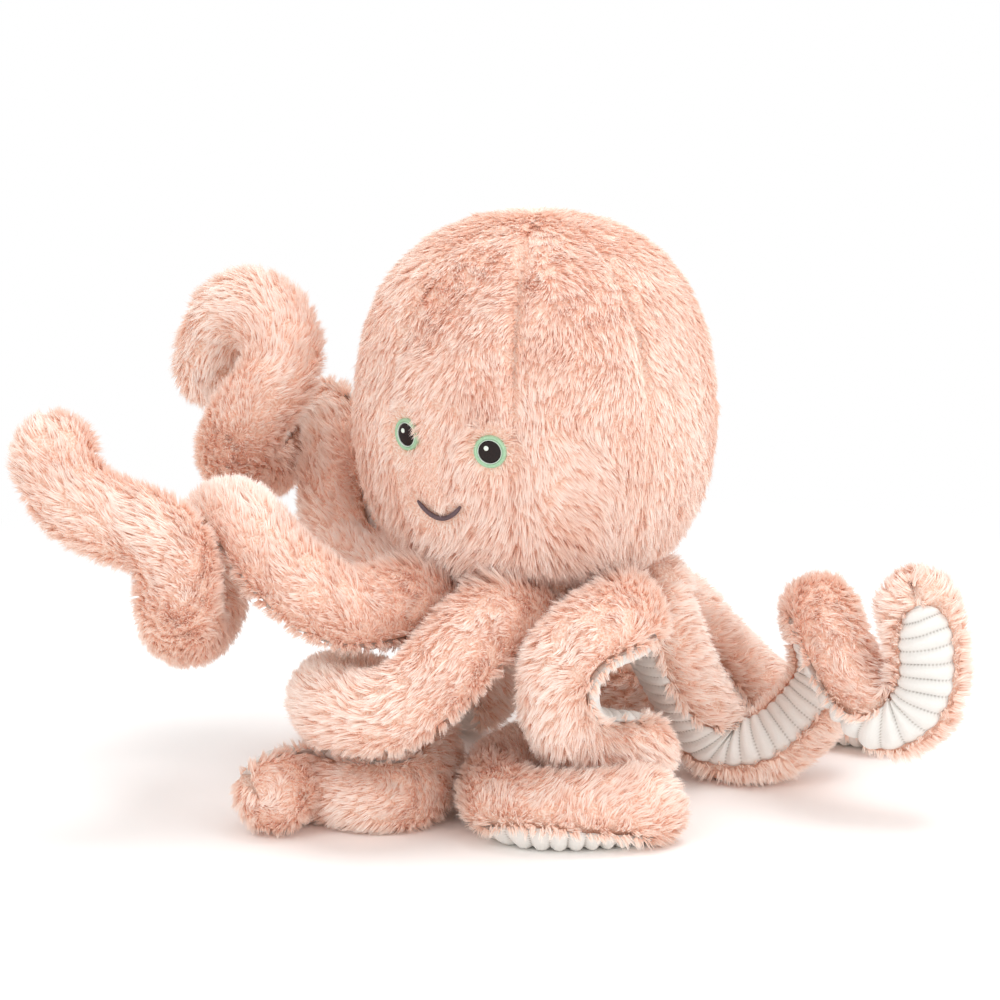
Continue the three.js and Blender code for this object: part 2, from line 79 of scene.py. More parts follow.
# The face, as in the part: heights are above the head's base
EYE_SPACING = 37 * MM
EYE_HEIGHT = 57 * MM
EYE_TILT = 1.6 * MM
SMILE_WIDTH = 20 * MM
SMILE_DEPTH = 6 * MM
SMILE_HEIGHT = 33 * MM
SMILE_SHIFT = 5 * MM

# The stitches
EYE_RADIUS = 6.4 * MM
EYE_LINE_RADIUS = 4.8 * MM
EYE_PUPIL_RADIUS = 4.45 * MM
GLINT_RADIUS = 1.1 * MM
GLINT_SHIFT = (-1.2 * MM, 1.5 * MM)
SMILE_RADIUS = 0.85 * MM
SMILE_LIFT = 0.9 * MM
SMILE_THREADS = 44
STITCH_LIFT = 0.3 * MM
STITCH_SINK = 0.8 * MM
PINHOLE = 0.02 * MM  # where the grid of a full disc starts

# An eye's layers: each one's colour, node in the part, thread, and inner and outer radius, then the
# rows and columns of its grid, its height, the depth of its furrows, its threads, counted round a
# ring or in radians per metre across a disc, and their turn
EYE_RING = (EYE_LINE_RADIUS, EYE_RADIUS)
EYE_LINE = (EYE_PUPIL_RADIUS, EYE_LINE_RADIUS)
EYE_PUPIL = (PINHOLE, EYE_PUPIL_RADIUS)
EYE_GLINT = (PINHOLE, GLINT_RADIUS)
EYE_LAYERS = [
    ["green", "ring", "green_thread", EYE_RING, (7, 288), 0.9 * MM, 0.16 * MM, 96, 0],
    ["pale", "line", "pale_thread", EYE_LINE, (5, 144), 0.75 * MM, 0.1 * MM, 48, 0],
    ["dark", "pupil", "dark_thread", EYE_PUPIL, (26, 96), 0.8 * MM, 0.14 * MM, 7.5 / MM, 1.2],
    ["white", "glint", "pale_thread", EYE_GLINT, (8, 48), 1.15 * MM, 0.08 * MM, 9 / MM, 0.4],
]

# Each thread's colour, and the darker one that it varies to
THREADS = {
    "green_thread": ("BFDDBF", "8AB68E"),
    "pale_thread": ("F4F8F2", "D3E6D6"),
    "dark_thread": ("2A1A18", "0A0606"),
    "grey_thread": ("7A686E", "453539"),
}

# Each arm's route: out from its root, to the side and up, in pitches, then the way its strip faces
ROUTE_SHARES = {
    "front_left": [
        [0, 0, 2.6, 0, 0, -1],
        [0.55, -0.35, 2.75, -0.4, -0.1, -0.9],
        [0.9, -0.7, 2.35, -0.6, 0.2, -0.8],
        [1.1, -1.15, 1.85, -0.7, 0.3, -0.6],
        [1.05, -1.75, 1.6, -0.8, 0.4, -0.5],
        [0.45, -2.45, 1.65, -0.3, 0.8, -0.4],
        [-0.5, -2.25, 1.6, 0.8, 0.5, -0.2],
        [-0.95, -1.65, 1.2, 1, 0.1, 0.2],
        [-1, -1.35, 0.7, 0.6, -0.5, 0.6],
        [-0.45, -1.25, 0.43, -0.2, -0.8, 0.6],
        [0.25, -1.4, 0.42, -0.7, -0.4, 0.6],
        [0.3, -1.95, 0.42, -0.8, -0.2, 0.6],
        [-0.05, -2.4, 0.45, -0.6, -0.4, 0.7],
        [0.05, -2.85, 0.5, -0.3, -0.6, 0.7],
        [0.6, -2.95, 0.52, 0, -0.7, 0.7],
    ],
    "side_left": [
        [0, 0, 2.6, 0, 0, -1],
        [0.6, -0.1, 2.7, -0.1, 0.5, -0.9],
        [0.85, -0.8, 2.75, 0.1, 0.5, -0.8],
        [0.75, -1.3, 2.45, 0.45, 0.85, -0.4],
        [0.35, -1.05, 1.75, 0.3, 0.95, 0.2],
        [-0.1, -0.45, 1.05, 0, 0.5, 0.9],
        [0.1, 0.15, 0.95, -0.4, 0.2, 0.9],
        [-0.05, 0.7, 0.75, -0.5, -0.5, 0.7],
        [-0.85, 0.9, 0.5, 0.5, -0.7, 0.5],
        [-1.25, 0.45, 0.5, 0.8, -0.6, 0.2],
        [-1.2, -0.4, 0.55, 0.9, -0.3, -0.3],
        [-0.7, -1.3, 0.5, 0.7, 0.1, -0.7],
        [0.15, -1.55, 0.42, 0.6, -0.2, -0.7],
        [0.65, -0.95, 0.42, 0.4, -0.2, -0.9],
        [0.95, -0.2, 0.45, 0, 0.1, -1],
    ],
    "front_right": [
        [0, 0, 2.6, 0, 0, -1],
        [0.75, 0.1, 2.85, -0.2, -0.2, -1],
        [1.45, 0, 2.75, -0.2, -0.4, -0.9],
        [2, -0.2, 3.15, 0, -0.7, -0.7],
        [2.35, -0.55, 3.7, 0.2, -0.7, -0.7],
        [2.3, -1.15, 3.95, 0.5, -0.4, -0.8],
        [2, -2.1, 3.55, 0.9, 0.1, -0.5],
        [1.8, -2.4, 2.75, 1, 0.3, 0.1],
        [2.3, -2, 2.35, 0.5, -0.3, 0.8],
        [3.1, -1.25, 2.65, 0.1, -0.7, 0.7],
        [3.35, -0.65, 3.45, -0.3, -0.9, 0.1],
        [3.45, -0.85, 3.9, -0.5, -0.8, -0.2],
        [3.8, -1.4, 4, -0.6, -0.7, -0.4],
        [4.2, -1.85, 4.25, -0.7, -0.7, -0.3],
        [4.25, -2, 4.75, -0.7, -0.6, 0.2],
    ],
    "side_right": [
        [0, 0, 2.6, 0, 0, -1],
        [0.8, -0.4, 2.6, -0.6, -0.1, -0.8],
        [1.15, -1, 2.9, -0.9, -0.4, -0.2],
        [1.35, -1.15, 3.7, -0.9, -0.4, 0],
        [1.2, -1.55, 4.4, -0.7, -0.6, 0.4],
        [1.65, -2.3, 4.5, -0.4, -0.6, 0.7],
        [2.15, -2.3, 4.05, -0.2, -0.7, 0.8],
        [2.4, -1.45, 3.85, -0.2, -0.4, 0.9],
        [2.6, -0.5, 4.15, -0.3, -0.3, 0.9],
        [2.15, 0.1, 4.85, -0.2, -0.9, 0.3],
        [1.75, -0.15, 5.35, 0, -1, 0],
        [1.85, -0.45, 5.9, 0.1, -1, -0.2],
        [2.35, -0.8, 6.15, 0.1, -1, -0.1],
        [2.8, -1.15, 5.75, 0, -1, 0],
        [2.9, -1.25, 5.2, 0, -1, 0],
    ],
    "rear_left": [
        [0, 0, 2.6, 0, 0, -1],
        [0.05, 0.1, 2.25, -0.5, -0.3, -0.8],
        [0.4, 0.8, 1.25, -0.8, -0.6, -0.3],
        [0.8, 1.05, 0.38, -0.2, -0.8, 0.5],
        [1.35, 0.85, 0.38, 0.1, -0.8, 0.6],
        [1.9, 1, 0.75, -0.2, -0.6, 0.8],
        [2.35, 1.15, 1.4, -0.4, -0.8, 0.4],
        [2.1, 1.1, 2.1, -0.2, -0.8, -0.5],
        [2.1, 0.35, 2.5, -0.6, 0, -0.8],
        [2.35, -0.3, 2, -0.8, 0.6, -0.3],
        [2.8, -0.6, 1.3, -0.9, -0.2, -0.3],
        [3.4, -0.7, 1.35, -0.2, -1, 0.1],
        [3.55, -0.8, 2.1, -0.1, -1, 0],
        [3.35, -0.8, 2.75, 0.1, -1, 0],
    ],
    "back_left": [
        [0, 0, 2.6, 0, 0, -1],
        [0.85, 0.05, 2.15, -0.2, 0.1, -1],
        [1.35, 0.2, 1.75, -0.5, -0.1, -0.9],
        [1.95, 0.15, 1.15, -0.7, -0.1, -0.7],
        [2.6, 0.05, 0.5, -0.3, 0.2, -0.9],
        [3.2, -0.45, 0.42, -0.2, 0.4, -0.9],
        [3.45, -1.2, 0.45, -0.5, 0.5, -0.6],
    ],
    "rear_right": [
        [0, 0, 2.6, 0, 0, -1],
        [0.4, -0.25, 2.25, 0.3, 0.8, -0.5],
        [0.45, -0.6, 1.55, 0.6, 0.8, 0],
        [0.65, -0.95, 0.75, 0.4, 0.9, -0.3],
        [1.5, -1, 0.42, 0.2, 0.3, -0.9],
        [2.1, -0.3, 0.42, 0.4, -0.3, -0.9],
        [2.1, 0.7, 0.42, 0.2, -0.7, -0.6],
        [1.15, 1.2, 0.42, -0.5, -0.8, -0.2],
        [0.55, 0.45, 0.45, 0.6, -0.7, 0.3],
    ],
    "back_right": [
        [0, 0, 2.6, 0, 0, -1],
        [0.65, -0.15, 2.45, 0, 0, -1],
        [1.35, -0.3, 1.9, -0.6, -0.1, -0.8],
        [2, -0.35, 1.05, -0.7, -0.1, -0.7],
        [2.6, -0.6, 0.42, -0.2, 0, -1],
        [2.75, -1.2, 0.42, -0.5, -0.3, -0.8],
        [2.2, -1.9, 0.42, -0.7, 0.6, -0.4],
        [1.3, -1.65, 0.42, 0.9, 0.5, 0.2],
        [1.25, -0.85, 0.45, 1, 0, 0.3],
    ],
}

# Where each arm's root stands, in half steps from the face toward the octopus's left
ROOT_HALF_STEPS = {
    "front_left": 1,
    "side_left": 3,
    "rear_left": 5,
    "back_left": 7,
    "back_right": 9,
    "rear_right": 11,
    "side_right": 13,
    "front_right": 15,
}

# The head's panels, from the face toward the octopus's left
GORE_NAMES = [
    "face",
    "front_left",
    "left",
    "rear_left",
    "back",
    "rear_right",
    "right",
    "front_right",
]

# The backing: how deep it lies under the part's surface, and where it stands out from that
HEAD_SKIN_DEPTH = 1.4 * MM
HEAD_PUFF = 1.6 * MM
CROWN_PUFF = 1.8 * MM
CHEEK_PUFF = 1.6 * MM
SEWN_SKIN_DEPTH = 0.5 * MM  # under the eyes and the smile
GROOVE_DEPTH = 3.8 * MM
GROOVE_WIDTH = 2.4 * MM
SEAM_WIDTH = 2.2 * MM  # of the shorter hairs along a seam, whose colour is painted darker there as the crease's shade
SEAM_BARE = 0.8 * MM
ARM_SKIN_DEPTH = -0.3 * MM
STRIP_SKIN_DROP = 4 * MM
FLOOR_CLEARANCE = 0.3 * MM

# The hairs: leans are angles away from straight up
HEAD_HAIR_LENGTH = 4.8 * MM
HEAD_HAIR_LEAN = math.radians(57)
ARM_HAIR_LENGTH = 5.1 * MM
ARM_HAIR_LEAN = math.radians(51)
LIP_HAIR_LEAN = math.radians(36)
LIP_SWIRL = math.radians(80)
HAIR_WIDTH = 0.55 * MM
HAIR_ROLL = 0.25
HAIRS_PER_TUFT = 8
TUFT_RADIUS = 1.25 * MM
TUFT_TIP_SHARE = 0.6
TUFTS_PER_GORE = 2400
ARM_TUFT_SPACING = 2.14 * MM
MOST_STRETCH = 2.2

# The corduroy
STRIP_HALF_ANGLE = math.radians(51)
STRIP_CROWN_SHARE = 0.55
STRIP_LIFT = 0.5 * MM
STRIP_UNDERSIDE = 2.2 * MM
RIB_PITCH = 5.8 * MM
RIB_STEPS = 8
RIB_HEIGHT = 2.4 * MM
RIB_ROUNDNESS = 0.75  # the power of the sine that makes a rib: lower is squarer

# The camera
CAMERA_AZIMUTH = math.radians(30)
CAMERA_ELEVATION = math.radians(12)
CAMERA_DISTANCE = 1300 * MM
CAMERA_TARGET = np.array([-14 * MM, 0.0, 122 * MM])  # to the right, away and up, as seen
SENSOR_WIDTH = 36
FOCAL_SHARE = 3.25  # focal length over the picture's width

# The light: each lamp's place to the right, away and up, as seen, then its size and its power
WORLD_LIGHT = 0.95
LAMPS = {
    "key": [(-0.9, -1.6, 1.7), 1.2, 8],
    "fill": [(1.3, -1.3, 0.8), 1.6, 7],
    "top": [(0.5, -0.2, 2.1), 1.0, 14],
}
LAMP_TARGET_HEIGHT = 100 * MM
FLOOR_SIZE = 12.0


# Camera, lamps, floor

def from_view(right, away, up):
    """A place given in the view's frame, turned about the head's axis into the part's frame."""
    cos, sin = math.cos(CAMERA_AZIMUTH), math.sin(CAMERA_AZIMUTH)
    return HEAD_AXIS + np.array([right * cos - away * sin, right * sin + away * cos, up])


def add_camera():
    camera = bpy.data.cameras.new("camera")
    camera.sensor_width = SENSOR_WIDTH
    camera.lens = SENSOR_WIDTH * FOCAL_SHARE
    camera.clip_end = 20
    holder = bpy.data.objects.new("camera", camera)
    bpy.context.scene.collection.objects.link(holder)
    target = from_view(*CAMERA_TARGET)
    back = -CAMERA_DISTANCE * math.cos(CAMERA_ELEVATION)
    rise = CAMERA_TARGET[2] + CAMERA_DISTANCE * math.sin(CAMERA_ELEVATION)
    place = from_view(CAMERA_TARGET[0], back, rise)
    holder.location = place
    holder.rotation_euler = Vector(target - place).to_track_quat("-Z", "Y").to_euler()
    bpy.context.scene.camera = holder


def add_lamp(name, place, size, power):
    lamp = bpy.data.lights.new(name, "AREA")
    lamp.shape = "DISK"
    lamp.size = size
    lamp.energy = power
    holder = bpy.data.objects.new(name, lamp)
    bpy.context.scene.collection.objects.link(holder)
    spot = from_view(*place)
    holder.location = spot
    aim = from_view(0, 0, LAMP_TARGET_HEIGHT)
    holder.rotation_euler = Vector(aim - spot).to_track_quat("-Z", "Y").to_euler()


# Materials

class Value:
    """A socket, or a number, that adds Math nodes when it is used in an expression."""

    def __init__(self, tree, source):
        self.tree, self.source = tree, source

    def _math(self, operation, *others):
        node = self.tree.nodes.new("ShaderNodeMath")
        node.operation = operation
        for pin, value in zip(node.inputs, (self, *others)):
            value = value.source if isinstance(value, Value) else value
            if isinstance(value, bpy.types.NodeSocket):
                self.tree.links.new(value, pin)
            else:
                pin.default_value = value
        return Value(self.tree, node.outputs[0])

    def __add__(self, other):
        return self._math("ADD", other)

    def __sub__(self, other):
        return self._math("SUBTRACT", other)

    def __rsub__(self, other):
        return Value(self.tree, other)._math("SUBTRACT", self)

    def __mul__(self, other):
        return self._math("MULTIPLY", other)

    def __pow__(self, other):
        return self._math("POWER", other)

    __radd__ = __add__
    __rmul__ = __mul__

    def sine(self):
        return self._math("SINE")

    def absolute(self):
        return self._math("ABSOLUTE")

    def over(self, limit):
        return self._math("GREATER_THAN", limit)


class Finish:
    """A material under construction, with one method for every other node."""

    def __init__(self, name):
        self.material = bpy.data.materials.new(name)
        self.material.use_nodes = True
        self.tree = self.material.node_tree
        self.shader = self.tree.nodes["Principled BSDF"]
        self.output = self.tree.nodes["Material Output"]

    def node(self, kind, settings=None, **values):
        """A node of a type, its settings set first, then the values or links of its sockets."""
        made = self.tree.nodes.new("ShaderNode" + kind)
        for name, value in (settings or {}).items():
            if name == "stops":
                set_stops(made.color_ramp, value)
            else:
                setattr(made, name, value)
        for name, value in values.items():
            self.feed(made.inputs[name.replace("_", " ")], value)
        return made

    def feed(self, pin, value):
        value = value.source if isinstance(value, Value) else value
        if isinstance(value, bpy.types.NodeSocket):
            self.tree.links.new(value, pin)
        else:
            pin.default_value = value

    def value(self, socket):
        return Value(self.tree, socket)

    def noise(self, scale, detail):
        """Noise on Object coordinates, from 0 to 1."""
        place = self.node("TexCoord").outputs["Object"]
        made = self.node("TexNoise", Vector=place, Scale=scale, Detail=detail)
        return self.value(made.outputs["Fac"])

    def blend(self, share, first, second):
        """A colour between two, by a share."""
        made = self.tree.nodes.new("ShaderNodeMix")
        made.data_type = "RGBA"
        self.feed(made.inputs[0], share)
        self.feed(made.inputs[6], first)
        self.feed(made.inputs[7], second)
        return made.outputs[2]

    def surface(self, **values):
        for name, value in values.items():
            self.feed(self.shader.inputs[name.replace("_", " ")], value)
        return self.material


def set_stops(ramp, stops):
    while len(ramp.elements) > 1:
        ramp.elements.remove(ramp.elements[-1])
    ramp.elements[0].position, ramp.elements[0].color = stops[0]
    for place, colour in stops[1:]:
        ramp.elements.new(place).color = colour


def paint(code):
    """A linear colour from its usual six-digit code."""
    parts = np.array([int(code[i : i + 2], 16) for i in (0, 2, 4)]) / 255
    linear = np.where(parts <= 0.04045, parts / 12.92, ((parts + 0.055) / 1.055) ** 2.4)
    return (*linear.tolist(), 1.0)


def hair_finish():
    """Fur: deeper peach at the root and pale at the tip, each hair a little lighter or darker."""
    finish = Finish("peach_pile")
    layer = finish.node("UVMap", {"uv_map": "OFBake"}).outputs["UV"]
    parts = finish.node("SeparateXYZ", Vector=layer)
    shade, rise = parts.outputs["X"], parts.outputs["Y"]
    # The deep colours go mostly to the hairs along the head's seams, as painted shade of the seam's
    # crease; other hairs take some of them at random
    deep = [(0.0, paint("E0A588")), (0.45, paint("EFC4AB")), (1.0, paint("F8DAC8"))]
    pale = [(0.0, paint("FBDFCE")), (0.4, paint("FCEEE4")), (1.0, paint("FDF7F2"))]
    colour = finish.blend(
        shade,
        finish.node("ValToRGB", {"stops": deep}, Fac=rise).outputs["Color"],
        finish.node("ValToRGB", {"stops": pale}, Fac=rise).outputs["Color"],
    )
    finish.surface(Base_Color=colour, Roughness=0.8)
    return finish.surface(Sheen_Weight=0.15, Specular_IOR_Level=0.2)


def skin_finish():
    """The fur's backing, seen only between the hairs: a fine grain of pale hair ends over peach."""
    finish = Finish("coral_backing")
    grain = finish.noise(1100.0, 4.0)
    colour = finish.blend((grain - 0.3) * 2.2, paint("E4AC90"), paint("FCEADE"))
    bump = finish.node("Bump", Strength=1.0, Distance=0.0009, Height=grain)
    return finish.surface(Base_Color=colour, Roughness=0.95, Normal=bump.outputs["Normal"])


def corduroy_finish():
    """White corduroy: soft nap on the ribs, a dotted line of stitches in every valley, and the
    bottom of every valley painted darker as its shade.
    """
    finish = Finish("white_corduroy")
    nap = finish.noise(1400.0, 4.0)
    cloud = finish.noise(120.0, 2.0)
    layer = finish.node("UVMap", {"uv_map": "ribs"}).outputs["UV"]
    parts = finish.node("SeparateXYZ", Vector=layer)
    rib = finish.value(parts.outputs["X"])
    across = finish.value(parts.outputs["Y"])
    valley = 1 - (rib * math.pi).sine().absolute()
    dots = (across * 48).sine().over(0.0)
    # Painted shade and stitches: the bottom of each valley is greyed by 0.2 as its shade, and by
    # 0.55 more at the dots of stitching
    stitch_dots_and_valley_shade = (valley**5) * (dots * 0.55 + 0.2)
    cloth = finish.blend(nap * 0.35 + cloud * 0.3, paint("EBE9E5"), paint("DBD8D2"))
    colour = finish.blend(stitch_dots_and_valley_shade, cloth, paint("9C9088"))
    bump = finish.node("Bump", Strength=0.6, Distance=0.0004, Height=nap)
    finish.surface(Base_Color=colour, Roughness=0.85, Sheen_Weight=0.2)
    return finish.surface(Normal=bump.outputs["Normal"])


def thread_finish(name, code, darker):
    """Embroidery thread: a satin colour that varies from stitch to stitch."""
    finish = Finish(name)
    colour = finish.blend(finish.noise(1600.0, 2.0), paint(code), paint(darker))
    return finish.surface(Base_Color=colour, Roughness=0.55, Specular_IOR_Level=0.3)


def add_floor():
    """A pale floor that keeps the object's shadow and otherwise shows white."""
    size = FLOOR_SIZE
    mesh = bpy.data.meshes.new("floor")
    corners = [(-size, -size, 0), (size, -size, 0), (size, size, 0), (-size, size, 0)]
    mesh.from_pydata(corners, [], [(0, 1, 2, 3)])
    floor = bpy.data.objects.new("floor", mesh)
    bpy.context.scene.collection.objects.link(floor)
    finish = Finish("floor")
    finish.surface(Base_Color=paint("FAF9F8"), Roughness=1.0)
    glow = finish.node("Emission", Color=(1, 1, 1, 1), Strength=1.0)
    seen = finish.value(finish.node("LightPath").outputs["Is Camera Ray"])
    place = finish.node("TexCoord").outputs["Object"]
    away = finish.node("VectorMath", {"operation": "LENGTH"}, Vector=place).outputs["Value"]
    smooth = {"interpolation_type": "SMOOTHSTEP"}
    far = finish.node("MapRange", smooth, Value=away, From_Min=0.3, From_Max=0.6)
    mixed = finish.node("MixShader")
    finish.feed(mixed.inputs[0], seen * finish.value(far.outputs["Result"]))
    finish.feed(mixed.inputs[1], finish.shader.outputs[0])
    finish.feed(mixed.inputs[2], glow.outputs[0])
    finish.feed(finish.output.inputs["Surface"], mixed.outputs[0])
    mesh.materials.append(finish.material)


def light_world():
    """Even light from all round, which the camera sees as white."""
    world = bpy.data.worlds.new("studio")
    bpy.context.scene.world = world
    world.use_nodes = True
    tree = world.node_tree
    ground = tree.nodes["Background"]
    ground.inputs["Color"].default_value = (1, 1, 1, 1)
    path = tree.nodes.new("ShaderNodeLightPath")
    seen = Value(tree, path.outputs["Is Camera Ray"])
    strength = seen * (1 - WORLD_LIGHT) + WORLD_LIGHT
    tree.links.new(strength.source, ground.inputs["Strength"])


# Meshes

def add_mesh(name, points, faces, finish, uv=None, uv_name="OFBake", smooth=True):
    """An object at the origin from arrays of points and of faces with one corner count."""
    mesh = bpy.data.meshes.new(name)
    count, corners = faces.shape
    mesh.vertices.add(len(points))
    mesh.vertices.foreach_set("co", np.ascontiguousarray(points, np.float32).ravel())
    mesh.loops.add(count * corners)
    mesh.loops.foreach_set("vertex_index", np.ascontiguousarray(faces, np.int32).ravel())
    mesh.polygons.add(count)
    mesh.polygons.foreach_set("loop_start", np.arange(0, count * corners, corners, dtype=np.int32))
    mesh.update(calc_edges=True)
    if smooth:
        mesh.shade_smooth()
    else:
        mesh.shade_flat()
    if uv is not None:
        layer = mesh.uv_layers.new(name=uv_name)
        layer.uv.foreach_set("vector", np.ascontiguousarray(uv, np.float32).ravel())
    mesh.materials.append(finish)
    piece = bpy.data.objects.new(name, mesh)
    bpy.context.scene.collection.objects.link(piece)
    return piece


def grid_faces(rows, columns, closed):
    """Quads between neighbours of a grid of points, whose columns may close into a ring."""
    last = columns if closed else columns - 1
    row, column = np.meshgrid(np.arange(rows - 1), np.arange(last), indexing="ij")
    beside = (column + 1) % columns
    low, high = row * columns, (row + 1) * columns
    return np.stack([low + column, low + beside, high + beside, high + column], -1).reshape(-1, 4)


def tube_faces(points, rows):
    """Triangles over closed rings of points, and the points with one more in the middle of each
    end ring."""
    columns = len(points) // rows
    sides = grid_faces(rows, columns, closed=True)
    edge = np.arange(columns)
    beside = (edge + 1) % columns
    base = (rows - 1) * columns
    middle = np.full(columns, len(points))
    ends = np.stack([points[:columns].mean(0), points[-columns:].mean(0)])
    start_cap = np.stack([middle, beside, edge], -1)
    end_cap = np.stack([middle + 1, base + edge, base + beside], -1)
    faces = np.vstack([sides[:, [0, 1, 2]], sides[:, [0, 2, 3]], start_cap, end_cap])
    return np.vstack([points, ends]), faces


def shell_faces(rows, columns):
    """Quads over two layers of the same rings, the upper first, joined at the inner and the outer
    ring."""
    layer = grid_faces(rows, columns, closed=True)
    total = rows * columns
    edge = np.arange(columns)
    beside = (edge + 1) % columns
    rim = total - columns
    outer = np.stack([rim + edge, total + rim + edge, total + rim + beside, rim + beside], -1)
    inner = np.stack([edge, beside, total + beside, total + edge], -1)
    return np.vstack([layer[:, ::-1], layer + total, outer, inner])


def ripple(points, size, seed):
    """Smooth noise from about -1 to 1: a sum of plane waves about a size long, which run in seeded
    directions."""
    count = 9
    draw = np.random.default_rng(seed)
    waves = draw.normal(size=(count, 3))
    pitch = (2 * math.pi / size) * draw.uniform(0.6, 1.4, (count, 1))
    waves *= pitch / np.linalg.norm(waves, axis=1)[:, None]
    phases = draw.uniform(0, 2 * math.pi, count)
    return 2 * np.sin(points @ waves.T + phases).sum(1) / count


def unit(vectors):
    return vectors / np.maximum(np.linalg.norm(vectors, axis=-1, keepdims=True), 1e-12)


def cross_free(vectors, normals):
    """What is left of vectors once their part along the normals is taken off, at length one."""
    return unit(vectors - (vectors * normals).sum(-1, keepdims=True) * normals)


def step(values, low, high):
    """0 below low, 1 above high and a smooth rise between."""
    share = np.clip((values - low) / (high - low), 0, 1)
    return share * share * (3 - 2 * share)


# The head's surface

def head_radius(height):
    """The smaller of a squarer ellipse above the widest level and a long ellipse below it, less a
    parabola that turns the rim in to the base."""
    rise = np.clip((height - WIDEST_HEIGHT) / CROWN_RISE, 0, 1)
    drop = np.clip((WIDEST_HEIGHT - height) / (CHIN_REACH_SHARE * CHIN_DROP), 0, 1)
    above = (1 - rise**CROWN_POWER) ** (1 / CROWN_POWER)
    below = np.sqrt(1 - drop**2)
    uncut = HEAD_RADIUS * math.sqrt(1 - 1 / CHIN_REACH_SHARE**2)
    turned_in = 1 - np.clip((height - BASE_HEIGHT) / RIM_RISE, 0, 1)
    return HEAD_RADIUS * np.minimum(above, below) - (uncut - RIM_RADIUS) * turned_in**2


PROFILE_STEPS = 500
SWEEP = np.linspace(0, math.pi / 2, PROFILE_STEPS)
PROFILE_HEIGHT = BASE_HEIGHT + (CHIN_DROP + CROWN_RISE) * np.sin(SWEEP)
PROFILE_RADIUS = head_radius(PROFILE_HEIGHT)
PROFILE_STEP = np.hypot(np.diff(PROFILE_RADIUS), np.diff(PROFILE_HEIGHT))
PROFILE_RUN = np.concatenate([[0], np.cumsum(PROFILE_STEP)])
PROFILE_OUT = np.gradient(PROFILE_RADIUS, PROFILE_RUN)
PROFILE_UP = np.gradient(PROFILE_HEIGHT, PROFILE_RUN)
PROFILE_LENGTH = PROFILE_RUN[-1]
GORE_ANGLE = 2 * math.pi / len(GORE_NAMES)
FACE_ANGLE = -math.pi / 2


class HeadSpots:
    """Spots on the head, given by their angle from the face and their run up from the rim: the
    profile at that run, turned to that angle round the head's axis."""

    def __init__(self, angle, run):
        self.angle, self.run = angle, run
        self.radius = np.interp(run, PROFILE_RUN, PROFILE_RADIUS)
        height = np.interp(run, PROFILE_RUN, PROFILE_HEIGHT)
        out = np.interp(run, PROFILE_RUN, PROFILE_OUT)[:, None]
        up = np.interp(run, PROFILE_RUN, PROFILE_UP)[:, None]
        turn = FACE_ANGLE + angle
        radial = np.stack([np.cos(turn), np.sin(turn), np.zeros_like(turn)], -1)
        vertical = np.array([0.0, 0.0, 1.0])
        length = np.hypot(out, up)
        self.normal = (radial * up - vertical * out) / length
        self.up = (radial * out + vertical * up) / length
        self.side = np.stack([-np.sin(turn), np.cos(turn), np.zeros_like(turn)], -1)
        self.place = HEAD_AXIS + radial * self.radius[:, None] + vertical * height[:, None]

    def seam_share(self):
        """How clearly the seams show: not at the very crown, most above the face, faint below."""
        above_face = step(self.run, 70 * MM, 110 * MM)
        return step(self.radius, 14 * MM, 40 * MM) * (0.25 + 0.75 * above_face)

    def seam_trace(self, width):
        """1 on a seam where it shows fully, falling off like a bell that is a width wide."""
        seam, _ = self.seam_distance()
        return np.exp(-((seam / width) ** 2)) * self.seam_share()

    def seam_distance(self):
        """How far each spot lies from the nearest seam between gores, and on which side of it."""
        off = (self.angle / GORE_ANGLE - 0.5) - np.round(self.angle / GORE_ANGLE - 0.5)
        return np.abs(off) * GORE_ANGLE * self.radius, np.sign(off)


def face_spot(sideways, height):
    """A spot's place on the face, its way outward and its way upward, as the part has them."""
    level = BASE_HEIGHT + height
    nudge = 0.3 * MM
    below, radius, above = (float(head_radius(level + off)) for off in (-nudge, 0.0, nudge))
    slope = (above - below) / (2 * nudge)
    angle = FACE_ANGLE + sideways / radius
    radial = np.array([math.cos(angle), math.sin(angle), 0.0])
    outward = unit(radial + np.array([0, 0, -slope]))
    upward = cross_free(np.array([0.0, 0.0, 1.0]), outward)
    return HEAD_AXIS + radial * radius + np.array([0, 0, level]), outward, upward


EYE_SPOTS = {
    side: face_spot(sign * EYE_SPACING / 2, EYE_HEIGHT - sign * EYE_TILT)
    for side, sign in (("left", 1), ("right", -1))
}
SMILE_SHARES = np.linspace(-1, 1, 41)
SMILE_SPOTS = [
    face_spot(-SMILE_SHIFT + share * SMILE_WIDTH / 2, SMILE_HEIGHT - SMILE_DEPTH * (1 - share**2))
    for share in SMILE_SHARES
]
EYE_CENTRES = np.array([spot[0] for spot in EYE_SPOTS.values()])
SMILE_CENTRES = np.array([spot[0] for spot in SMILE_SPOTS])


def distance_to(points, targets):
    """From each point, the distance to the nearest of a few targets and the vector from it."""
    gaps = points[:, None, :] - targets[None, :, :]
    far = np.linalg.norm(gaps, axis=2)
    nearest = far.argmin(1)
    rows = np.arange(len(points))
    return far[rows, nearest], gaps[rows, nearest]


def face_calm(points):
    """1 on an eye or the smile, where the fur is sewn flat, falling to 0 a few millimetres away."""
    eye, _ = distance_to(points, EYE_CENTRES)
    smile, _ = distance_to(points, SMILE_CENTRES)
    near_eye = 1 - step(eye, EYE_RADIUS - 0.5 * MM, EYE_RADIUS + 4 * MM)
    near_smile = 1 - step(smile, 2 * MM, 6.5 * MM)
    return np.maximum(near_eye, near_smile)


